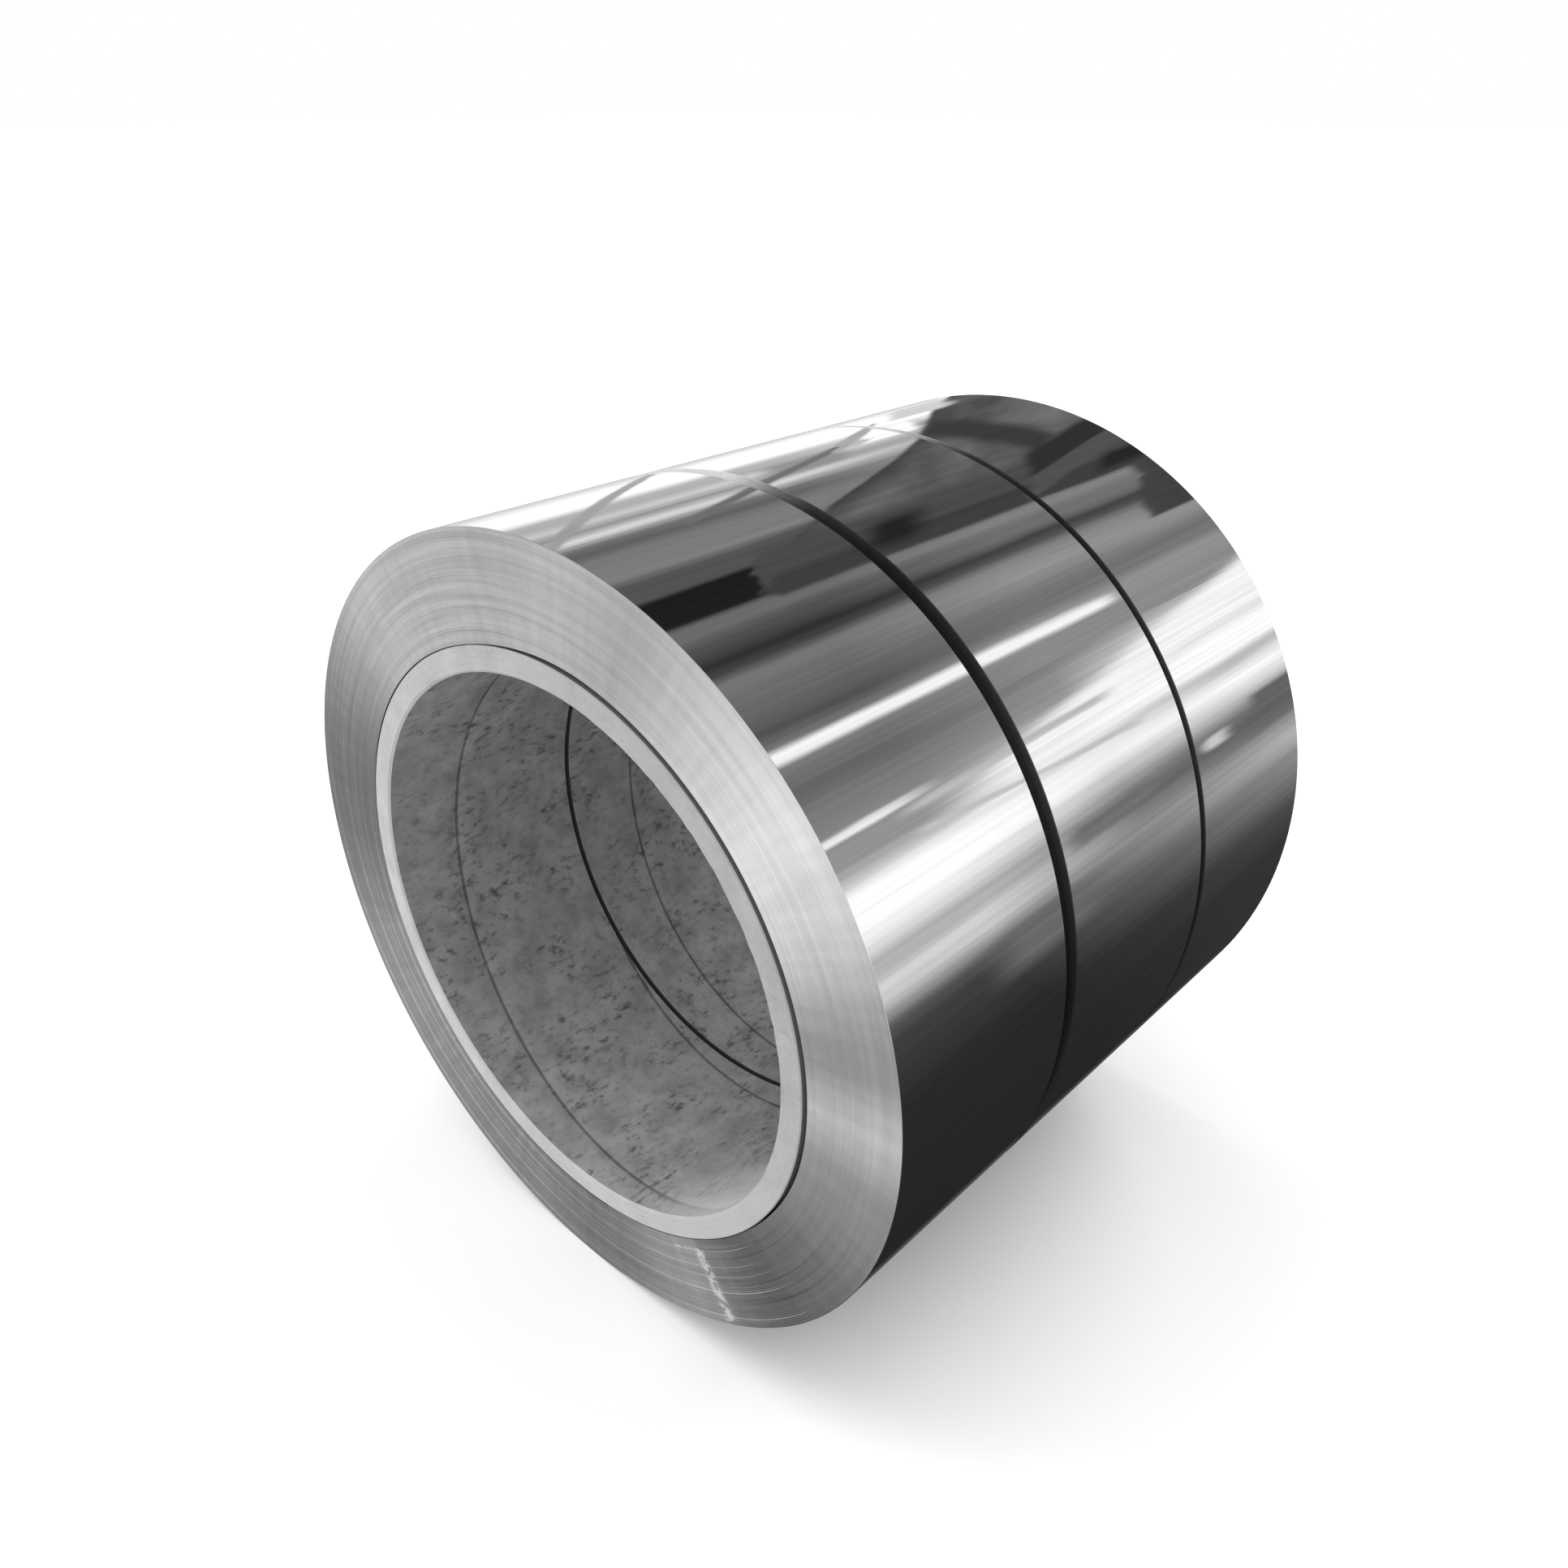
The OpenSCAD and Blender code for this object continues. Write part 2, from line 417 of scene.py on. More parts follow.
stripCoil = {
    "columns": 256,          # faces round the coil
    "thickness": 0.8 * mm,   # of the strip, seen as the step at its tail
    "tailAngle": 278,        # degrees round where the outer wrap ends, just past the floor
    "fineWraps": 43,         # wraps drawn on an open end face; the strip makes about 107
    "coarseWraps": 14,       # wraps drawn on a face inside a gap
    "bands": 10,             # bands of wraps that went on at the same sideways place
    "setBack": 0.22 * mm,    # deepest that a band lies back
    "bandPhase": 137,        # degrees of its wave from one band to the next
    "wander": 0.04 * mm,     # how far single wraps lie back from their band
    "lean": 0.05 * mm,       # how much further back the outer side of an edge lies, from the shear
    "leanAt": 0.85,          # and where across the wrap that is
    "rim": 0.6 * mm,         # radius worn on the outermost wrap
    "rimFlat": 2 * mm,       # of the flat next to it, meshed apart so that the flat shades flat
    "play": 3 * mm,          # between a core and the innermost wrap
    "slack": 0.3 * mm,       # left between them where the wrap lies on the core
    "slackFrom": 45,         # degrees from the widest play, where the wrap springs back to the core
    "slackTo": 75,
    "crease": 8,             # degrees between two faces that still shade smoothly
}
eyeRadius = coreRadius + stripCoil["play"]
woundHeight = coilRadius - eyeRadius


def bandDepth(share):
    # the outermost band stands furthest out
    band = int(share * stripCoil["bands"])
    if band >= stripCoil["bands"] - 1:
        return 0
    wave = math.sin(math.radians(stripCoil["bandPhase"] * (band + 1)))
    return stripCoil["setBack"] * (0.5 + 0.5 * wave)


def eyeFill(angles):
    # how far the innermost wrap lies inside the round eye, sprung in against the core
    lean = math.hypot(coreAxis.x - coilAxis.x, coreAxis.z - coilAxis.z)
    middle = math.atan2(coilAxis.z - coreAxis.z, coilAxis.x - coreAxis.x)
    apart = np.abs((angles - middle + math.pi) % (2 * math.pi) - math.pi)
    gap = stripCoil["play"] + lean * np.cos(apart)
    start, end = math.radians(stripCoil["slackFrom"]), math.radians(stripCoil["slackTo"])
    share = np.clip((apart - start) / (end - start), 0, 1)
    return np.maximum(gap - stripCoil["slack"], 0) * share * share * (3 - 2 * share)


def woundFace(turns, angles, wraps):
    # creases from the eye to the rim, each a row of radii and depths round the coil
    pitch = woundHeight / wraps
    fill = eyeFill(angles)
    depths = [bandDepth(k / wraps) + dice.uniform(0, stripCoil["wander"]) for k in range(wraps + 1)]
    depths[-1] = depths[-2] = 0
    rows = []
    for wrap in range(wraps):
        inner = eyeRadius + pitch * (wrap - 0.5 + turns)
        outer = inner + pitch
        if wrap == 0:
            inner = eyeRadius + stripCoil["thickness"] * turns - fill
        if wrap == wraps - 1:
            outer = coilRadius - stripCoil["thickness"] * (1 - turns) - stripCoil["rim"]
        depth = depths[wrap] + (depths[wrap + 1] - depths[wrap]) * turns
        rows.append((inner, depth))
        if wrap < wraps - 1:
            rows.append((inner + (outer - inner) * stripCoil["leanAt"], depth + stripCoil["lean"]))
    rows.append((outer, depth))
    return rows


def makeStripCoil(node, low, high, frontOpen, rearOpen):
    columns = stripCoil["columns"]
    turns = np.linspace(0, 1, columns + 1)
    angles = math.radians(stripCoil["tailAngle"]) + turns * 2 * math.pi
    rimRadius = coilRadius - stripCoil["thickness"] * (1 - turns)
    front = woundFace(turns, angles, stripCoil["fineWraps" if frontOpen else "coarseWraps"])
    rear = woundFace(turns, angles, stripCoil["fineWraps" if rearOpen else "coarseWraps"])
    rim = []
    for step in (30, 60, 90):
        lift = math.radians(step)
        inside = stripCoil["rim"] * (1 - math.sin(lift))
        depth = stripCoil["rim"] * (1 - math.cos(lift))
        rim.append((rimRadius - inside, depth))
    rim.append((rimRadius, stripCoil["rim"] + stripCoil["rimFlat"]))
    rows = [(radius, low.y + depth) for radius, depth in front]
    rows += [(radius, low.y + depth) for radius, depth in rim]
    rows += [(radius, high.y - depth) for radius, depth in reversed(rim)]
    rows += [(radius, high.y - depth) for radius, depth in reversed(rear)]
    radii = np.array([np.broadcast_to(radius, turns.shape) for radius, place in rows])
    places = np.array([np.broadcast_to(place, turns.shape) for radius, place in rows])
    points = np.stack([radii * np.cos(angles), places, radii * np.sin(angles) + coilAxis.z], axis=-1)

    # the edge's finish reaches two rows on over the worn rim; the last row closes the eye
    count = len(rows)
    frontEnd = len(front) + 2
    rearStart = count - len(rear) - 3
    # a face in a gap takes slitting dust and painted shade
    frontFinish = sheared if frontOpen else dustyShaded
    rearFinish = dull if rearOpen else dustyShaded
    faces = []
    finish = []
    for row in range(count):
        after = (row + 1) % count
        isSlitEdge = row < len(front) or count - len(rear) - 1 <= row < count - 1
        for column in range(columns):
            a = row * (columns + 1) + column
            b = after * (columns + 1) + column
            faces.append((a, a + 1, b + 1, b))
            if row < frontEnd:
                finish.append(frontFinish)
            elif rearStart <= row < count - 1:
                finish.append(rearFinish)
            else:
                finish.append(rolled)
        # the end of the strip closes the step between the first and the last column
        if not isSlitEdge:
            a = row * (columns + 1)
            b = after * (columns + 1)
            faces.append((a + columns, a, b, b + columns))
            finish.append(sheared)
    mesh = bpy.data.meshes.new(node)
    mesh.from_pydata(points.reshape(-1, 3).tolist(), [], faces)
    mesh.polygons.foreach_set("material_index", finish)
    mesh.polygons.foreach_set("use_smooth", [True] * len(faces))

    # unrolled layout: across the strip is U, along the wrap is V
    steps = np.hypot(np.diff(radii[:, 0]), np.diff(places[:, 0]))
    across = np.concatenate([[0], np.cumsum(steps)])
    layout = mesh.uv_layers.new(name="unrolled")
    corners = np.zeros(len(mesh.loops), np.int32)
    mesh.loops.foreach_get("vertex_index", corners)
    uv = np.stack([across[corners // (columns + 1)], (corners % (columns + 1)) / columns], axis=-1)
    layout.data.foreach_set("uv", uv.reshape(-1).astype(np.float32))
    mesh.update()
    mesh.set_sharp_from_angle(angle=math.radians(stripCoil["crease"]))
    finishPiece(node + "_wound", mesh, steelFinishes, node)


makeStripCoil("strip_coil_front", frontLow, frontHigh, True, False)
makeStripCoil("strip_coil_middle", middleLow, middleHigh, False, False)
makeStripCoil("strip_coil_rear", rearLow, rearHigh, False, True)
print("strip coils wound")


# cores

coreTube = {
    "columns": 192,          # faces round the bore
    "seamPitch": 164 * mm,   # along the tube for one turn of a ply seam
    "seamWidth": 3.4 * mm,
    "seamDepth": 0.6 * mm,
    "rowsPerTurn": 9,        # plain rows between one seam and the next
    "boreChamfer": 2 * mm,
    "jointChamfer": 2.6 * mm,   # worn wider where two cores meet
    "fray": 0.5 * mm,        # how far the sawn edge of the bore is torn
    "outerChamfer": 1 * mm,
    "plies": 7,              # board plies that show on a sawn end
    "plyStep": 0.12 * mm,    # how far every other ply stands proud
    "plyEdge": 0.1 * mm,     # half the width of the slope between two plies
    "crease": 25,            # degrees between two faces that still shade smoothly
    "seamStarts": {"core_front": 33, "core_middle": 50, "core_rear": 96},  # mm from its end, at the bottom
}


def isAt(edge, y):
    return all(abs(vert.co.y - y) < 0.001 * mm for vert in edge.verts)


def makeCore(node):
    low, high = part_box(node)
    columns = coreTube["columns"]
    pitch = coreTube["seamPitch"]
    half = coreTube["seamWidth"] / 2
    # one turn of rows: the seam's two lips and bottom, then plain rows
    plainRows = coreTube["rowsPerTurn"]
    offsets = [(-half, 0), (0, coreTube["seamDepth"]), (half, 0)]
    offsets += [(pitch * k / (plainRows + 1), 0) for k in range(1, plainRows + 1)]
    turnsNeeded = int((high.y - low.y) / pitch) + 3
    seamStart = low.y + coreTube["seamStarts"][node] * mm
    mesh = bmesh.new()
    grid = []
    for turn in range(-2, turnsNeeded):
        for offset, sink in offsets:
            row = []
            for column in range(columns):
                # straight down is column 0, and the seam runs back as it climbs on the left
                angle = math.radians(-90) - 2 * math.pi * column / columns
                radius = boreRadius + sink
                y = seamStart + offset + pitch * (turn + column / columns)
                row.append(mesh.verts.new((
                    coreAxis.x + radius * math.cos(angle), y, coreAxis.z + radius * math.sin(angle))))
            grid.append(row)
    perTurn = len(offsets)
    for index in range(len(grid) - 1):
        isSeam = index % perTurn < 2
        for column in range(columns):
            ahead = column + 1
            if ahead < columns:
                corners = [grid[index][column], grid[index + 1][column],
                           grid[index + 1][ahead], grid[index][ahead]]
            elif index + 1 + perTurn < len(grid):
                corners = [grid[index][column], grid[index + 1][column],
                           grid[index + 1 + perTurn][0], grid[index + perTurn][0]]
            else:
                continue
            mesh.faces.new(corners).material_index = glued if isSeam else wound

    # each end's place, direction into the tube, whether it is open, and its chamfer
    ends = []
    for endY, inward, openY in ((low.y, 1, frontLow.y), (high.y, -1, rearHigh.y)):
        isOpen = abs(endY - openY) < mm
        ends.append((endY, inward, isOpen, coreTube["boreChamfer" if isOpen else "jointChamfer"]))
    for endY, inward, isOpen, chamfer in ends:
        cutY = endY + inward * chamfer
        everything = mesh.verts[:] + mesh.edges[:] + mesh.faces[:]
        bmesh.ops.bisect_plane(
            mesh, geom=everything, plane_co=(0, cutY, 0), plane_no=(0, -inward, 0), clear_outer=True)

    # each sawn end: chamfer, plies standing a little proud of each other, outer edge
    for endY, inward, isOpen, chamfer in ends:
        sawn = [(boreRadius + chamfer, 0)]
        sawnWidth = coreRadius - coreTube["outerChamfer"] - sawn[0][0]
        for ply in range(1, coreTube["plies"]):
            radius = sawn[0][0] + sawnWidth * ply / coreTube["plies"]
            step = coreTube["plyStep"] * (ply % 2)
            sawn.append((radius - coreTube["plyEdge"], coreTube["plyStep"] - step))
            sawn.append((radius + coreTube["plyEdge"], step))
        sawn.append((coreRadius - coreTube["outerChamfer"], 0))
        sawn.append((coreRadius, coreTube["outerChamfer"]))
        if inward == 1:
            # from the front end the outline runs on along the outside of the tube
            sawn.append((coreRadius, high.y - low.y - coreTube["outerChamfer"]))
        cutY = endY + inward * chamfer
        loop = [edge for edge in mesh.edges if edge.is_boundary and isAt(edge, cutY)]
        for radius, depth in sawn:
            grown = bmesh.ops.extrude_edge_only(mesh, edges=loop)["geom"]
            loop = [e for e in grown if isinstance(e, bmesh.types.BMEdge)]
            onWall = depth > coreTube["outerChamfer"]
            for face in [f for f in grown if isinstance(f, bmesh.types.BMFace)]:
                # the outside of the tube takes painted shade
                face.material_index = outerShaded if onWall else (sawnOpen if isOpen else sawnJoint)
            for vert in [v for v in grown if isinstance(v, bmesh.types.BMVert)]:
                torn = dice.uniform(-1, 1) * coreTube["fray"] if radius == sawn[0][0] else 0
                out = Vector((vert.co.x - coreAxis.x, 0, vert.co.z - coreAxis.z)).normalized()
                middle = Vector((coreAxis.x, endY + inward * depth, coreAxis.z))
                vert.co = middle + out * (radius + torn)
    bmesh.ops.recalc_face_normals(mesh, faces=mesh.faces)

    # faces in a fixed order, each from its earliest corner, so that every run gives the same mesh
    mesh.verts.index_update()
    faces = []
    for face in mesh.faces:
        corners = [vert.index for vert in face.verts]
        first = corners.index(min(corners))
        faces.append((corners[first:] + corners[:first], face.material_index))
    faces.sort()
    data = bpy.data.meshes.new(node)
    data.from_pydata([vert.co for vert in mesh.verts], [], [corners for corners, finish in faces])
    data.polygons.foreach_set("material_index", [finish for corners, finish in faces])
    mesh.free()
    data.polygons.foreach_set("use_smooth", [True] * len(data.polygons))
    data.set_sharp_from_angle(angle=math.radians(coreTube["crease"]))
    finishPiece(node + "_tube", data, boardFinishes, node)


for node in ("core_front", "core_middle", "core_rear"):
    makeCore(node)
print("cores wound")


# studio

studio = {
    "floorHalf": 40,         # metres from the middle of the floor to its edge
    "floorPale": "#f6f6f6",
    "floorDeep": "#f3f3f3",
    "floorCloud": 1.25,      # metres across a faint cloud on it
    # sun-like lights, only for the floor and the board: power, from where, degrees across
    "lights": {
        "overheadSoftLight": (1.6, (-0.4, -0.5, 1.3), 100),
        "mouthLight": (0.95, (-0.8, -0.3, 1.0), 40),
        "farEndLight": (1.6, (0.1, 1.0, 0.95), 40),
    },
    "backdrop": 1,           # brightness behind the floor
    "panelPower": 1.6,       # brightness of a full white panel
    "cut": -100,             # degrees where the round of panels starts, under the coils
    "middle": 50,            # degrees between the low and the high panels
    "end": 260,
    "wanderTurn": 0.8,       # degrees that the panels' edges wander
    "wanderHigh": 1.2,       # and how many times more on the left-hand side
    "wanderHighFrom": 100,   # degrees where that side starts
    "wanderHighTo": 140,
    "wanderReach": 0.05,
    "wanderScale": (1 / 7, 3.5, 1),     # times per degree and per unit of reach
    "hazeScale": (1 / 22, 6, 1),        # the same for the haze in the hall
    "streakTurn": 1.3,       # degrees across the faint streaks in every panel
    "streakReach": 1.2,      # and how many times they change for each unit of reach
    "streakTone": 0.24,
}

# Panels, strip lights and dark flags that hang along the coils, lowest first on the right-hand side.
# Each is degrees up round the coils' axis from the right-hand horizon, and percent of full white.
# They are given at three reaches. Reach is how far along the coils the light comes from, over how far
# to the side.
reaches = (1.05, 1.4, 1.8)
lowNear = [
    (-100, 12), (-60, 15), (-40, 16), (-27, 22), (-20, 25), (-16, 34),      # dark floor of the room
    (-12.5, 58), (-9, 77), (-5, 83), (-2, 71), (2, 69), (5, 85),            # low wall light
    (10, 97), (13, 100), (20, 99), (23, 78), (26, 66),                      # long softbox
    (28, 58), (33, 56), (38, 50), (43, 49), (50, 39),
]
lowMiddle = [
    (-100, 17), (-60, 18), (-45, 23), (-35, 34), (-27, 39), (-21, 50), (-13, 54), (-8, 49),
    (-4, 39), (0, 48), (4, 60), (8, 76), (11, 84), (14, 93), (19, 90), (21, 82),
    (24, 96), (29, 97), (32, 82), (36, 72), (39, 57), (44, 56), (50, 49),
]
lowFar = [
    (-100, 18), (-60, 20), (-45, 30), (-33, 48), (-25, 54), (-19, 68), (-13, 60), (-9, 42),
    (-3, 36), (1, 44), (5, 68), (8, 82), (13, 99), (17, 85), (19, 70), (21, 77),
    (23, 97), (30, 99), (33, 89), (36, 94), (43, 92), (47, 76), (50, 66),
]
highNear = [
    (50, 39), (59, 48), (64, 44), (68, 31), (73, 39), (85, 46), (87.5, 27), (91, 18), (94, 27),
    (98, 34), (101, 42), (104.2, 41), (105.8, 12), (115.5, 11), (117, 32), (124, 32),   # dark flag
    (127, 49), (137, 46), (140.5, 36), (144, 43), (146, 61), (148.3, 84), (150.5, 66), (152.5, 55),
    (157, 77), (160.5, 64), (165, 67), (168.5, 93), (177, 96), (186, 77), (194, 66),   # left-hand wall
    (260, 12),
]
highFar = [
    (50, 54), (57, 54), (63, 57), (66, 47), (70, 43), (73, 47), (79, 57), (83, 54), (86, 48), (88.5, 31),
    (91, 25), (94, 42), (98, 44), (101, 51), (103.4, 48), (104.6, 26), (127, 30), (148, 62), (157, 66),
    (163, 79), (169, 96), (177, 96), (186, 77), (194, 67), (205, 60), (228, 40), (260, 12),
]

# The dark hall past the far end of the coils: its edge as degrees round and reach
hallEdge = [
    (104.7, 0.97), (116.5, 0.975), (119, 1.02), (126, 1.08), (130, 1.11), (135, 1.17), (142, 1.24),
    (150, 1.29), (160, 1.315), (176, 1.335), (184, 1.36), (192, 1.4),
]
hallTones = (0.055, 0.15)
hallShade = (0.5, 0.14)      # share of light on its near wall, and the reach over which it grows to full
hallSoft = (-0.005, 0.015)   # reach over which its edge fades
hallTop = 0.7                # degrees to either side over which its top fades
mostReach = 2                # a ramp holds 0 to 1, so reaches go in as parts of this

# Single things that hang in the room. Each is its middle in degrees at reach 1, how many degrees it
# climbs for each further unit of reach, half its width and its softness in degrees, the reaches where it
# begins and ends, the softness there, and percent of full white.
hangings = [
    (60.85, -1.6, 0.4, 2.6, 0.30, 1.55, 0.08, 97),   # strip light
    (35.1, 0, 0.4, 1.2, 0.30, 0.96, 0.16, 93),       # lamp tube
    (20, 27, 2.5, 6, 1.31, 3.00, 0.26, 95),          # far window
    (26, -14, 0.3, 1.0, 1.04, 1.50, 0.04, 76),       # its bars
    (32.3, 0, 0.4, 1.6, 1.08, 1.44, 0.08, 72),
    (-2.5, 0, 1.5, 3.5, 1.27, 1.42, 0.06, 43),       # shade past the low wall light
    (-21, 0, 3, 6, 1.08, 1.16, 0.12, 41),            # light on the floor of the room
    (-2, 0, 1.0, 2.0, 1.64, 1.66, 0.05, 78),         # small lamp
    (2, 0, 1.5, 2.5, 1.79, 3.00, 0.04, 38),          # dark cupboard
    (92, 0, 11, 1.5, 1.79, 3.00, 0.03, 25),          # column
    (114, 0, 4, 6, 0.97, 3.00, 0.01, 29),            # shade over the hall's beam
    (107, 0, 2.6, 2.2, 0.99, 3.00, 0.02, 24),        # the beam
    (112, 0, 2, 6, 1.19, 1.22, 0.08, 14),            # machines in the hall
    (109, 0, 1.5, 4, 1.71, 3.00, 0.06, 15),
    (193, -115, 3, 7, 1.34, 1.55, 0.06, 22),         # its far wall
    (92, 50, 4.5, 4.5, 1.54, 3.00, 0.04, 18),
    (83, 50, 3, 2, 1.52, 1.75, 0.03, 31),            # light on its floor
    (220, 250, 2, 3.5, 0.72, 0.86, 0.01, 60),        # posts by the left-hand wall
    (155.5, 0, 3, 3, 1.04, 1.13, 0.05, 54),
    (164, 0, 5, 3, 1.21, 1.28, 0.02, 92),
    (149.4, 71, 0.8, 2.2, 0.91, 1.15, 0.02, 42),
    (138, 150, 2, 3, 1.15, 1.21, 0.01, 62),
    (178, 0, 5, 4, 1.26, 1.34, 0.04, 72),
]

# A fan of soft panels in front of the end face: degrees round the fan's middle, and percent of full white
frontFan = [
    (0, 57), (13, 73), (21, 53), (27, 59), (33, 78), (42, 85), (51, 76), (63, 62), (75, 70), (99, 64),
    (111, 70), (141, 66), (165, 76), (171, 70), (183, 41), (195, 9), (205, 12), (213, 33), (224, 9),
    (238, 10), (249, 31), (261, 71), (267, 60), (279, 19), (288, 11), (303, 28), (316, 38), (327, 40),
    (345, 52), (360, 57),
]
fanMiddle = (-1.362, -1.236)    # direction of its middle: right and up over forward
fanFade = (0.05, 0.3)           # how far forward a direction points where the fan starts and is full


def greyLevel(percent):
    # brightness as seen becomes linear light
    return linearColour("#{0:02x}{0:02x}{0:02x}".format(round(percent * 2.55)))


def panelStops(panels, start, end):
    return [((degrees - start) / (end - start), greyLevel(percent)[0]) for degrees, percent in panels]


def makeWorld():
    world = bpy.data.worlds.new("softStudio")
    world.use_nodes = True
    tree = world.node_tree
    tree.nodes.clear()
    direction = addNode(tree, "TexCoord").outputs["Generated"]
    x, y, z = addNode(tree, "SeparateXYZ", {}, {0: direction}).outputs

    # angle round the coils' axis in degrees, cut under the coils
    angle = addNode(tree, "Math", {"operation": "ARCTAN2"}, {0: z, 1: x})
    degrees = addNode(tree, "Math", {"operation": "DEGREES"}, {0: angle})
    under = addNode(tree, "Math", {"operation": "LESS_THAN"}, {0: degrees, 1: studio["cut"]})
    whole = addNode(tree, "Math", {"operation": "MULTIPLY_ADD"}, {0: under, 1: 360, 2: degrees})

    # reach along the coils over distance to the side
    side = addNode(tree, "CombineXYZ", {}, {0: x, 1: 0, 2: z})
    sideLength = addNode(tree, "VectorMath", {"operation": "LENGTH"}, {0: side})
    sideSafe = addNode(tree, "Math", {"operation": "MAXIMUM"}, {0: sideLength, 1: 0.01})
    straight = addNode(tree, "Math", {"operation": "DIVIDE"}, {0: y, 1: sideSafe})

    # the edges of things wander a little
    spread = addNode(tree, "CombineXYZ", {}, {0: whole, 1: straight, 2: 0})
    loose = addNode(tree, "Mapping", {}, {"Vector": spread, "Scale": studio["wanderScale"]})
    wander = addNode(tree, "TexNoise", {}, {"Vector": loose, "Scale": 1, "Detail": 2, "Roughness": 0.5})
    shifts = addNode(tree, "SeparateColor", {}, {0: wander.outputs["Color"]})
    calm = addNode(tree, "MapRange", openEnded, {
        "Value": shifts.outputs["Red"], "To Min": -studio["wanderTurn"], "To Max": studio["wanderTurn"]})
    wild = addNode(tree, "MapRange", {}, {
        "Value": whole, "From Min": studio["wanderHighFrom"], "From Max": studio["wanderHighTo"],
        "To Min": 1, "To Max": studio["wanderHigh"]})
    turnShift = addNode(tree, "Math", {"operation": "MULTIPLY"}, {0: calm, 1: wild})
    reachShift = addNode(tree, "MapRange", openEnded, {
        "Value": shifts.outputs["Green"],
        "To Min": -studio["wanderReach"], "To Max": studio["wanderReach"]})
    turn = addNode(tree, "Math", {"operation": "ADD"}, {0: whole, 1: turnShift})
    reach = addNode(tree, "Math", {"operation": "ADD"}, {0: straight, 1: reachShift})

    # long panels, low and high, from the near end to the far end
    isHigh = addNode(tree, "Math", {"operation": "GREATER_THAN"}, {0: turn, 1: studio["middle"]})
    room = None
    for low, high, reachFrom, reachTo in (
            (lowNear, highNear, 0, 0),
            (lowMiddle, highFar, reaches[0], reaches[1]),
            (lowFar, highFar, reaches[1], reaches[2])):
        halves = []
        for panels, start, end in (
                (low, studio["cut"], studio["middle"]), (high, studio["middle"], studio["end"])):
            along = addNode(tree, "MapRange", {}, {"Value": turn, "From Min": start, "From Max": end})
            halves.append(addNode(tree, "ValToRGB", {}, {0: along}, panelStops(panels, start, end)))
        here = addNode(tree, "Mix", colourMix, {"Factor": isHigh, "A": halves[0], "B": halves[1]})
        if room:
            blend = addNode(tree, "MapRange", {}, {
                "Value": reach, "From Min": reachFrom, "From Max": reachTo})
            here = addNode(tree, "Mix", colourMix, {"Factor": blend, "A": room, "B": here})
        room = here

    # dark hall at the far end, with a curved edge
    hallStart, hallEnd = hallEdge[0][0], hallEdge[-1][0]
    upHall = addNode(tree, "MapRange", {}, {"Value": whole, "From Min": hallStart, "From Max": hallEnd})
    edge = addNode(tree, "ValToRGB", {}, {0: upHall}, [
        ((turnAt - hallStart) / (hallEnd - hallStart), reachAt / mostReach)
        for turnAt, reachAt in hallEdge])
    beyond = addNode(tree, "Math", {"operation": "MULTIPLY_ADD"}, {0: edge, 1: -mostReach, 2: straight})
    inHall = addNode(tree, "MapRange", softStep, {
        "Value": beyond, "From Min": hallSoft[0], "From Max": hallSoft[1]})
    above = addNode(tree, "MapRange", softStep, {
        "Value": turn, "From Min": hallStart - hallTop, "From Max": hallStart + hallTop})
    hall = addNode(tree, "Math", {"operation": "MULTIPLY"}, {0: inHall, 1: above})
    haze = addNode(tree, "Mapping", {}, {"Vector": spread, "Scale": studio["hazeScale"]})
    hallCloud = addNode(tree, "TexNoise", {}, {"Vector": haze, "Scale": 1, "Detail": 3})
    hallTone = addNode(tree, "MapRange", {}, {
        "Value": hallCloud, "From Min": 0.3, "From Max": 0.7,
        "To Min": hallTones[0], "To Max": hallTones[1]})
    hallLight = addNode(tree, "MapRange", softStep, {
        "Value": beyond, "From Min": 0, "From Max": hallShade[1], "To Min": hallShade[0], "To Max": 1})
    hallLit = addNode(tree, "Math", {"operation": "MULTIPLY"}, {0: hallTone, 1: hallLight})
    room = addNode(tree, "Mix", colourMix, {"Factor": hall, "A": room, "B": hallLit})

    for middle, climb, halfWidth, softness, start, end, endSoftness, percent in hangings:
        climbed = addNode(tree, "Math", {"operation": "MULTIPLY_ADD"}, {0: straight, 1: -climb, 2: turn})
        offset = addNode(tree, "Math", {"operation": "SUBTRACT"}, {0: climbed, 1: middle - climb})
        away = addNode(tree, "Math", {"operation": "ABSOLUTE"}, {0: offset})
        inTurn = addNode(tree, "MapRange", softStep, {
            "Value": away, "From Min": halfWidth, "From Max": halfWidth + softness,
            "To Min": 1, "To Max": 0})
        along = addNode(tree, "Math", {"operation": "SUBTRACT"}, {0: reach, 1: (start + end) / 2})
        apart = addNode(tree, "Math", {"operation": "ABSOLUTE"}, {0: along})
        inReach = addNode(tree, "MapRange", softStep, {
            "Value": apart, "From Min": (end - start) / 2, "From Max": (end - start) / 2 + endSoftness,
            "To Min": 1, "To Max": 0})
        share = addNode(tree, "Math", {"operation": "MULTIPLY"}, {0: inTurn, 1: inReach})
        room = addNode(tree, "Mix", colourMix, {"Factor": share, "A": room, "B": greyLevel(percent)})

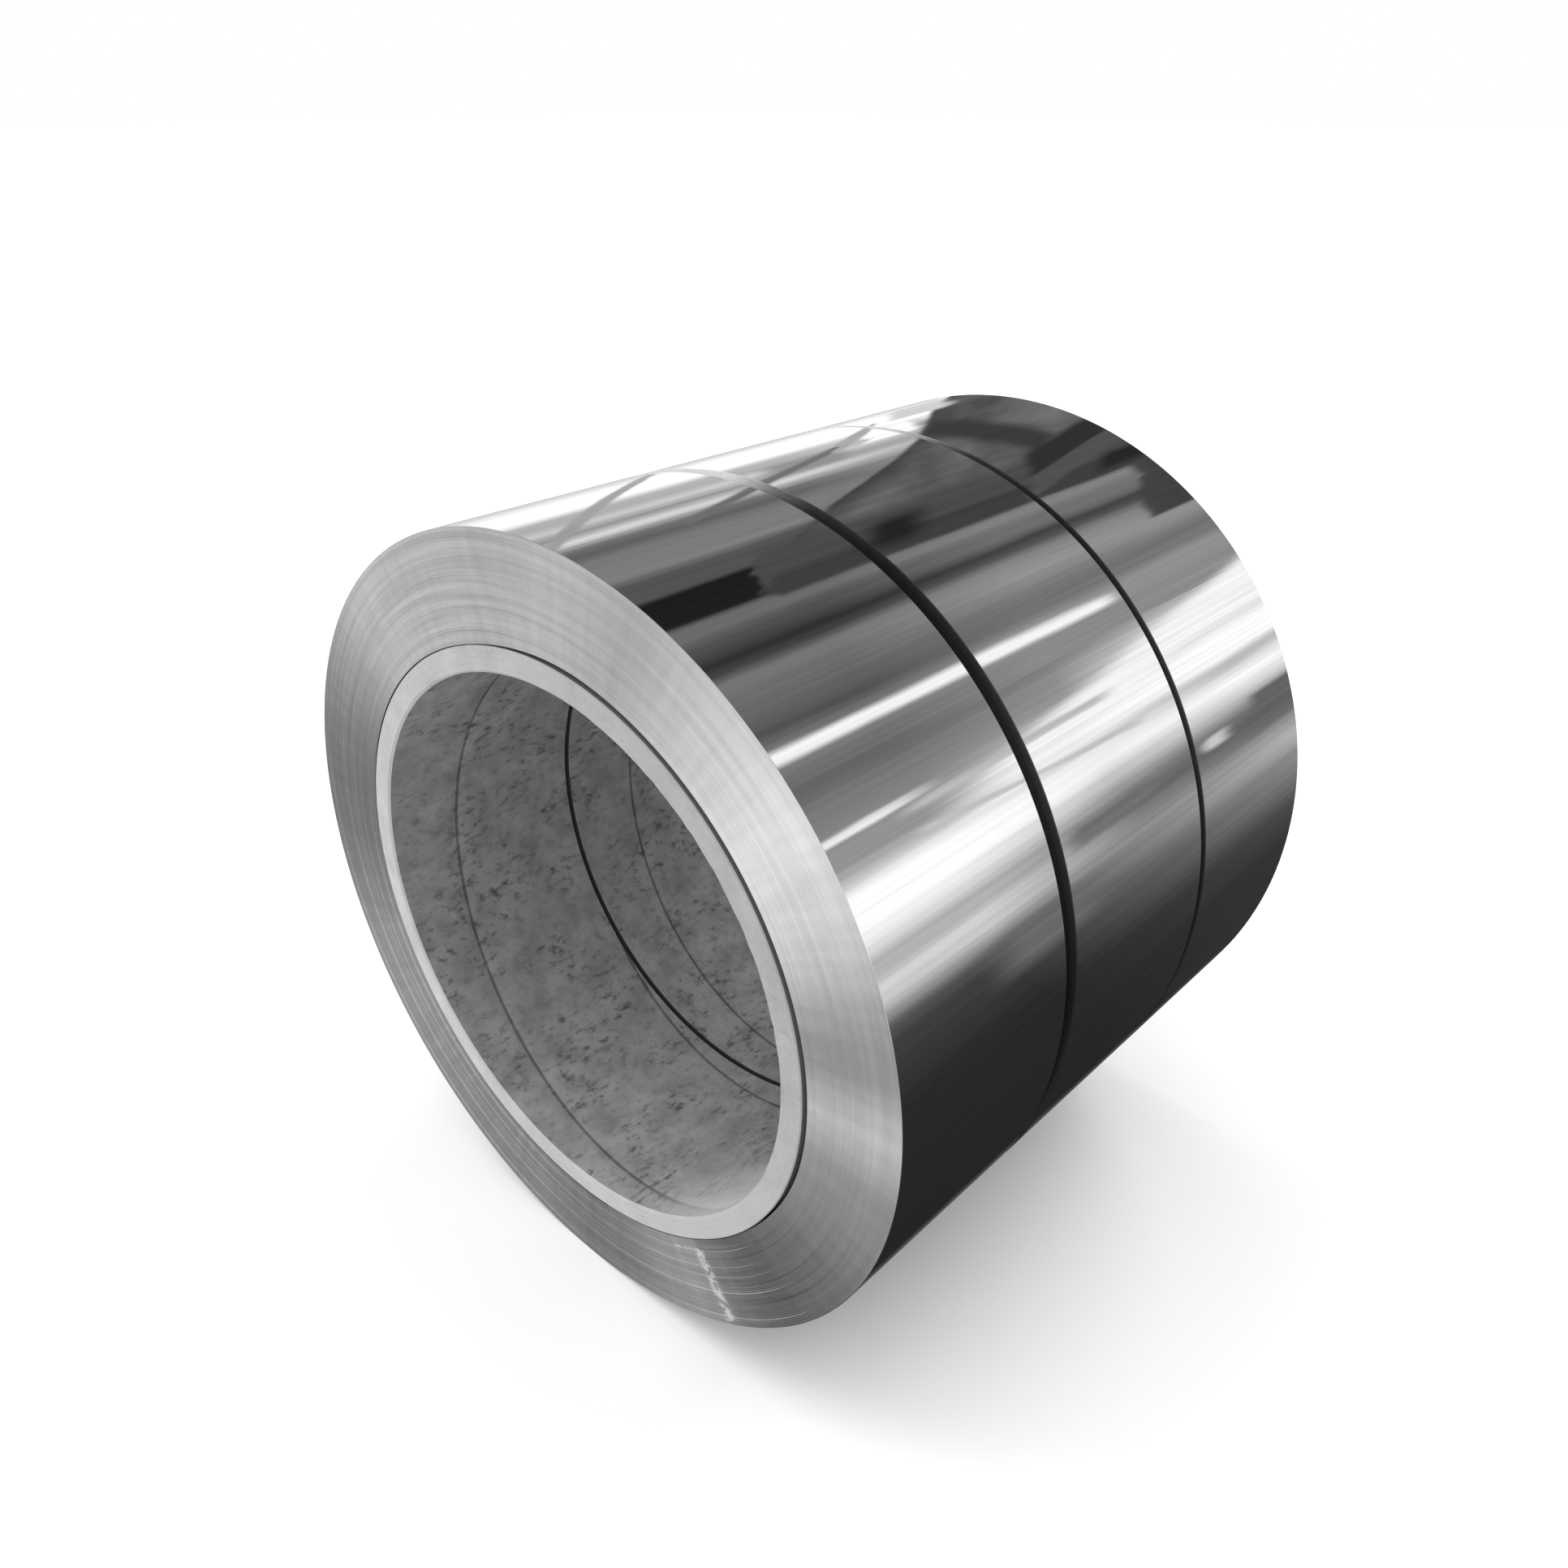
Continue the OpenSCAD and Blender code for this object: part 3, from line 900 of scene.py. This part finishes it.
    # fan of panels on the near side
    front = addNode(tree, "Math", {"operation": "MULTIPLY"}, {0: y, 1: -1})
    frontSafe = addNode(tree, "Math", {"operation": "MAXIMUM"}, {0: front, 1: fanFade[0]})
    right = addNode(tree, "Math", {"operation": "DIVIDE"}, {0: x, 1: frontSafe})
    rise = addNode(tree, "Math", {"operation": "DIVIDE"}, {0: z, 1: frontSafe})
    fromRight = addNode(tree, "Math", {"operation": "SUBTRACT"}, {0: right, 1: fanMiddle[0]})
    fromRise = addNode(tree, "Math", {"operation": "SUBTRACT"}, {0: rise, 1: fanMiddle[1]})
    fanAngle = addNode(tree, "Math", {"operation": "ARCTAN2"}, {0: fromRise, 1: fromRight})
    fanShare = addNode(tree, "Math", {"operation": "DIVIDE"}, {0: fanAngle, 1: 2 * math.pi})
    fanWhole = addNode(tree, "Math", {"operation": "FRACT"}, {0: fanShare})
    fanTone = addNode(tree, "ValToRGB", {}, {0: fanWhole}, panelStops(frontFan, 0, 360))
    inFront = addNode(tree, "MapRange", softStep, {
        "Value": front, "From Min": fanFade[0], "From Max": fanFade[1]})
    tone = addNode(tree, "Mix", colourMix, {"Factor": inFront, "A": room, "B": fanTone})

    # faint streaks along the coils in every panel
    fine = addNode(tree, "Mapping", {}, {
        "Vector": spread, "Scale": (1 / studio["streakTurn"], studio["streakReach"], 1)})
    streaks = addNode(tree, "TexNoise", {}, {"Vector": fine, "Scale": 1, "Detail": 2})
    streakShare = addNode(tree, "MapRange", openEnded, {
        "Value": streaks, "To Min": 1 - studio["streakTone"], "To Max": 1 + studio["streakTone"]})
    streaked = addNode(tree, "VectorMath", {"operation": "SCALE"}, {0: tone, "Scale": streakShare})

    rays = addNode(tree, "LightPath")
    power = addNode(tree, "Mix", {}, {
        "Factor": rays.outputs["Is Camera Ray"], "A": studio["panelPower"], "B": 1})
    seen = addNode(tree, "Mix", colourMix, {
        "Factor": rays.outputs["Is Camera Ray"], "A": streaked, "B": [studio["backdrop"]] * 3 + [1]})
    light = addNode(tree, "Background", {}, {"Color": seen, "Strength": power})
    addNode(tree, "OutputWorld", {}, {"Surface": light})
    bpy.context.scene.world = world


def makeFloor():
    # painted studio floor: plain, pale and matt
    material, tree = startMaterial("studioFloorPainted")
    place = addNode(tree, "TexCoord").outputs["Object"]
    cloud = addNode(tree, "TexNoise", {}, {
        "Vector": place, "Scale": 1 / studio["floorCloud"], "Detail": 2})
    tint = addNode(tree, "Mix", colourMix, {
        "Factor": cloud, "A": linearColour(studio["floorPale"]), "B": linearColour(studio["floorDeep"])})
    shader = addNode(tree, "BsdfPrincipled", {}, {
        "Base Color": tint, "Roughness": 0.8, "Specular IOR Level": 0.2})
    addNode(tree, "OutputMaterial", {}, {"Surface": shader})
    half = studio["floorHalf"]
    corners = [(-half, -half, 0), (half, -half, 0), (half, half, 0), (-half, half, 0)]
    mesh = bpy.data.meshes.new("studioFloor")
    mesh.from_pydata(corners, [], [(0, 1, 2, 3)])
    mesh.materials.append(material)
    floor = bpy.data.objects.new("studioFloor", mesh)
    bpy.context.scene.collection.objects.link(floor)
    floor.visible_glossy = False


def addFloorLights():
    for name, (power, fromWhere, softness) in studio["lights"].items():
        lamp = bpy.data.lights.new(name, "SUN")
        lamp.energy = power
        lamp.angle = math.radians(softness)
        light = bpy.data.objects.new(name, lamp)
        bpy.context.scene.collection.objects.link(light)
        light.rotation_euler = Vector(fromWhere).to_track_quat("Z", "Y").to_euler()
        light.visible_glossy = False


makeWorld()
makeFloor()
addFloorLights()
print("studio lit")


# camera

cameraPlan = {
    "fromFace": (1.8965, -1.392, 1.7206),  # place seen from the front end's middle, in coil radii
    "heading": 44.1,         # degrees to the left of the coils' axis
    "pitch": 33.8,           # degrees down
    "lens": 28.15,
    "shift": (0.0355, 0.0746),
}
camera = bpy.data.cameras.new("camera")
camera.lens = cameraPlan["lens"]
camera.shift_x, camera.shift_y = cameraPlan["shift"]
cameraStand = bpy.data.objects.new("camera", camera)
bpy.context.scene.collection.objects.link(cameraStand)
cameraStand.location = Vector((0, frontLow.y, coilRadius)) + coilRadius * Vector(cameraPlan["fromFace"])
cameraStand.rotation_euler = (
    math.radians(90 - cameraPlan["pitch"]), 0, math.radians(cameraPlan["heading"]))
bpy.context.scene.camera = cameraStand
bpy.context.scene.view_settings.view_transform = "Standard"
print("camera set")
